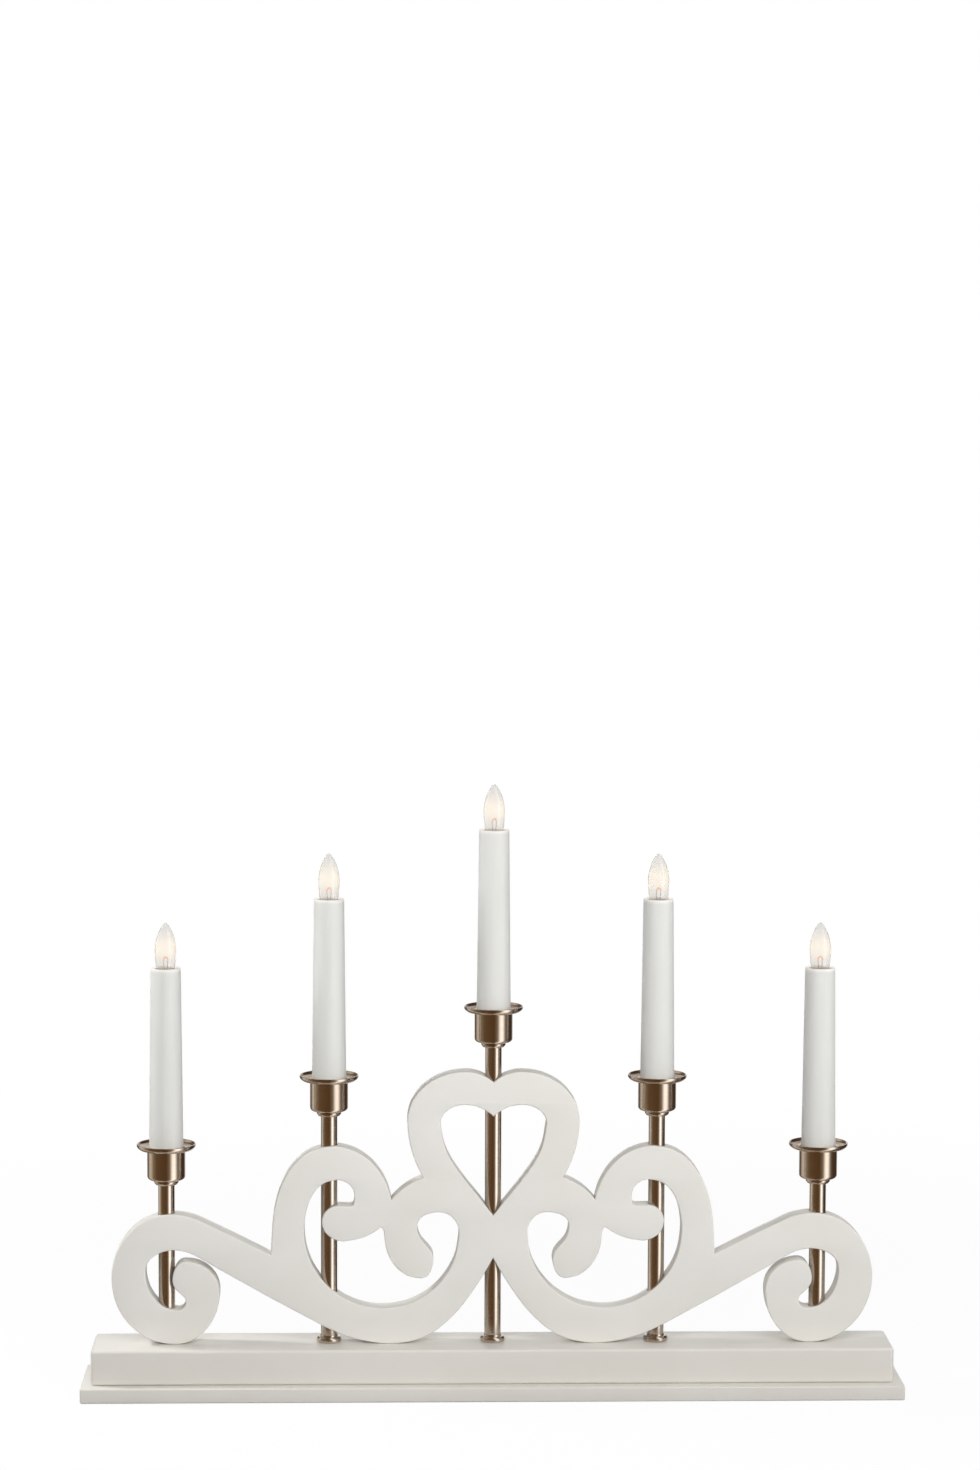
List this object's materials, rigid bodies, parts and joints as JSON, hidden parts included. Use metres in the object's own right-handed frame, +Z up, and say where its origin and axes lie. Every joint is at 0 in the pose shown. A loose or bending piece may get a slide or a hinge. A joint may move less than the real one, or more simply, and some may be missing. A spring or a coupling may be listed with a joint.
{
  "type": "advent candle holder",
  "caption": "Electric advent candle holder: stepped candle lights with screw-in lamps on metal stems, through a fretted scroll board on a long painted base.",
  "frame": {"origin": "middle of the base's underside", "axes": "+X along the base to the right as seen from the front, +Y to the back, +Z up"},
  "size_m": [0.5, 0.06, 0.3731],
  "materials": {
    "painted_wood": "white satin paint on fibreboard and planed wood",
    "brushed_nickel": "warm brushed nickel plating",
    "sleeve_plastic": "translucent white, satin",
    "holder_plastic": "moulded, satin",
    "cable_insulation": "white PVC",
    "brass": "plain brass sheet",
    "zinc_steel": "zinc plated",
    "bulb_glass": "clear, warm tint from the lit filament",
    "filament_wire": "glowing tungsten"
  },
  "bodies": {
    "holder": {"base_lower_board": "painted_wood", "base_upper_beam": "painted_wood", "base_screw_left": "zinc_steel", "base_screw_right": "zinc_steel", "cord_bushing": "holder_plastic", "wiring_loom": "cable_insulation", "scroll_board": "painted_wood", "stem_collar_2": "brushed_nickel", "stem_collar_3": "brushed_nickel", "stem_collar_4": "brushed_nickel", "stem_tube_1": "brushed_nickel", "stem_nut_1": "zinc_steel", "candle_cup_1": "brushed_nickel", "lampholder_1": "holder_plastic", "candle_sleeve_1": "sleeve_plastic", "screw_shell_1": "brass", "stem_tube_2": "brushed_nickel", "stem_nut_2": "zinc_steel", "candle_cup_2": "brushed_nickel", "lampholder_2": "holder_plastic", "candle_sleeve_2": "sleeve_plastic", "screw_shell_2": "brass", "stem_tube_3": "brushed_nickel", "stem_nut_3": "zinc_steel", "candle_cup_3": "brushed_nickel", "lampholder_3": "holder_plastic", "candle_sleeve_3": "sleeve_plastic", "screw_shell_3": "brass", "stem_tube_4": "brushed_nickel", "stem_nut_4": "zinc_steel", "candle_cup_4": "brushed_nickel", "lampholder_4": "holder_plastic", "candle_sleeve_4": "sleeve_plastic", "screw_shell_4": "brass", "stem_tube_5": "brushed_nickel", "stem_nut_5": "zinc_steel", "candle_cup_5": "brushed_nickel", "lampholder_5": "holder_plastic", "candle_sleeve_5": "sleeve_plastic", "screw_shell_5": "brass"},
    "contact_1": {"centre_contact_1": "brass"},
    "bulb_1": {"bulb_cap_1": "brass", "bulb_glass_1": "bulb_glass", "bulb_filament_1": "filament_wire"},
    "contact_2": {"centre_contact_2": "brass"},
    "bulb_2": {"bulb_cap_2": "brass", "bulb_glass_2": "bulb_glass", "bulb_filament_2": "filament_wire"},
    "contact_3": {"centre_contact_3": "brass"},
    "bulb_3": {"bulb_cap_3": "brass", "bulb_glass_3": "bulb_glass", "bulb_filament_3": "filament_wire"},
    "contact_4": {"centre_contact_4": "brass"},
    "bulb_4": {"bulb_cap_4": "brass", "bulb_glass_4": "bulb_glass", "bulb_filament_4": "filament_wire"},
    "contact_5": {"centre_contact_5": "brass"},
    "bulb_5": {"bulb_cap_5": "brass", "bulb_glass_5": "bulb_glass", "bulb_filament_5": "filament_wire"}
  },
  "joints": [
    {"name": "contact_1_rise", "type": "slide", "parent": "holder", "child": "contact_1", "axis": [0, 0, 1], "range_m": [0, 0.00181]},
    {"name": "bulb_1_turn", "type": "hinge", "parent": "contact_1", "child": "bulb_1", "pos_m": [-0.199, 0, 0.2612], "axis": [0, 0, 1], "range_deg": [0, 360]},
    {"name": "contact_2_rise", "type": "slide", "parent": "holder", "child": "contact_2", "axis": [0, 0, 1], "range_m": [0, 0.00181]},
    {"name": "bulb_2_turn", "type": "hinge", "parent": "contact_2", "child": "bulb_2", "pos_m": [-0.1, 0, 0.3034], "axis": [0, 0, 1], "range_deg": [0, 360]},
    {"name": "contact_3_rise", "type": "slide", "parent": "holder", "child": "contact_3", "axis": [0, 0, 1], "range_m": [0, 0.00181]},
    {"name": "bulb_3_turn", "type": "hinge", "parent": "contact_3", "child": "bulb_3", "pos_m": [0, 0, 0.3456], "axis": [0, 0, 1], "range_deg": [0, 360]},
    {"name": "contact_4_rise", "type": "slide", "parent": "holder", "child": "contact_4", "axis": [0, 0, 1], "range_m": [0, 0.00181]},
    {"name": "bulb_4_turn", "type": "hinge", "parent": "contact_4", "child": "bulb_4", "pos_m": [0.1, 0, 0.3034], "axis": [0, 0, 1], "range_deg": [0, 360]},
    {"name": "contact_5_rise", "type": "slide", "parent": "holder", "child": "contact_5", "axis": [0, 0, 1], "range_m": [0, 0.00181]},
    {"name": "bulb_5_turn", "type": "hinge", "parent": "contact_5", "child": "bulb_5", "pos_m": [0.199, 0, 0.2612], "axis": [0, 0, 1], "range_deg": [0, 360]}
  ],
  "couplings": [
    {"joint": "contact_1_rise", "follows": "bulb_1_turn", "m_per_rad": 0.0002881},
    {"joint": "contact_2_rise", "follows": "bulb_2_turn", "m_per_rad": 0.0002881},
    {"joint": "contact_3_rise", "follows": "bulb_3_turn", "m_per_rad": 0.0002881},
    {"joint": "contact_4_rise", "follows": "bulb_4_turn", "m_per_rad": 0.0002881},
    {"joint": "contact_5_rise", "follows": "bulb_5_turn", "m_per_rad": 0.0002881}
  ]
}
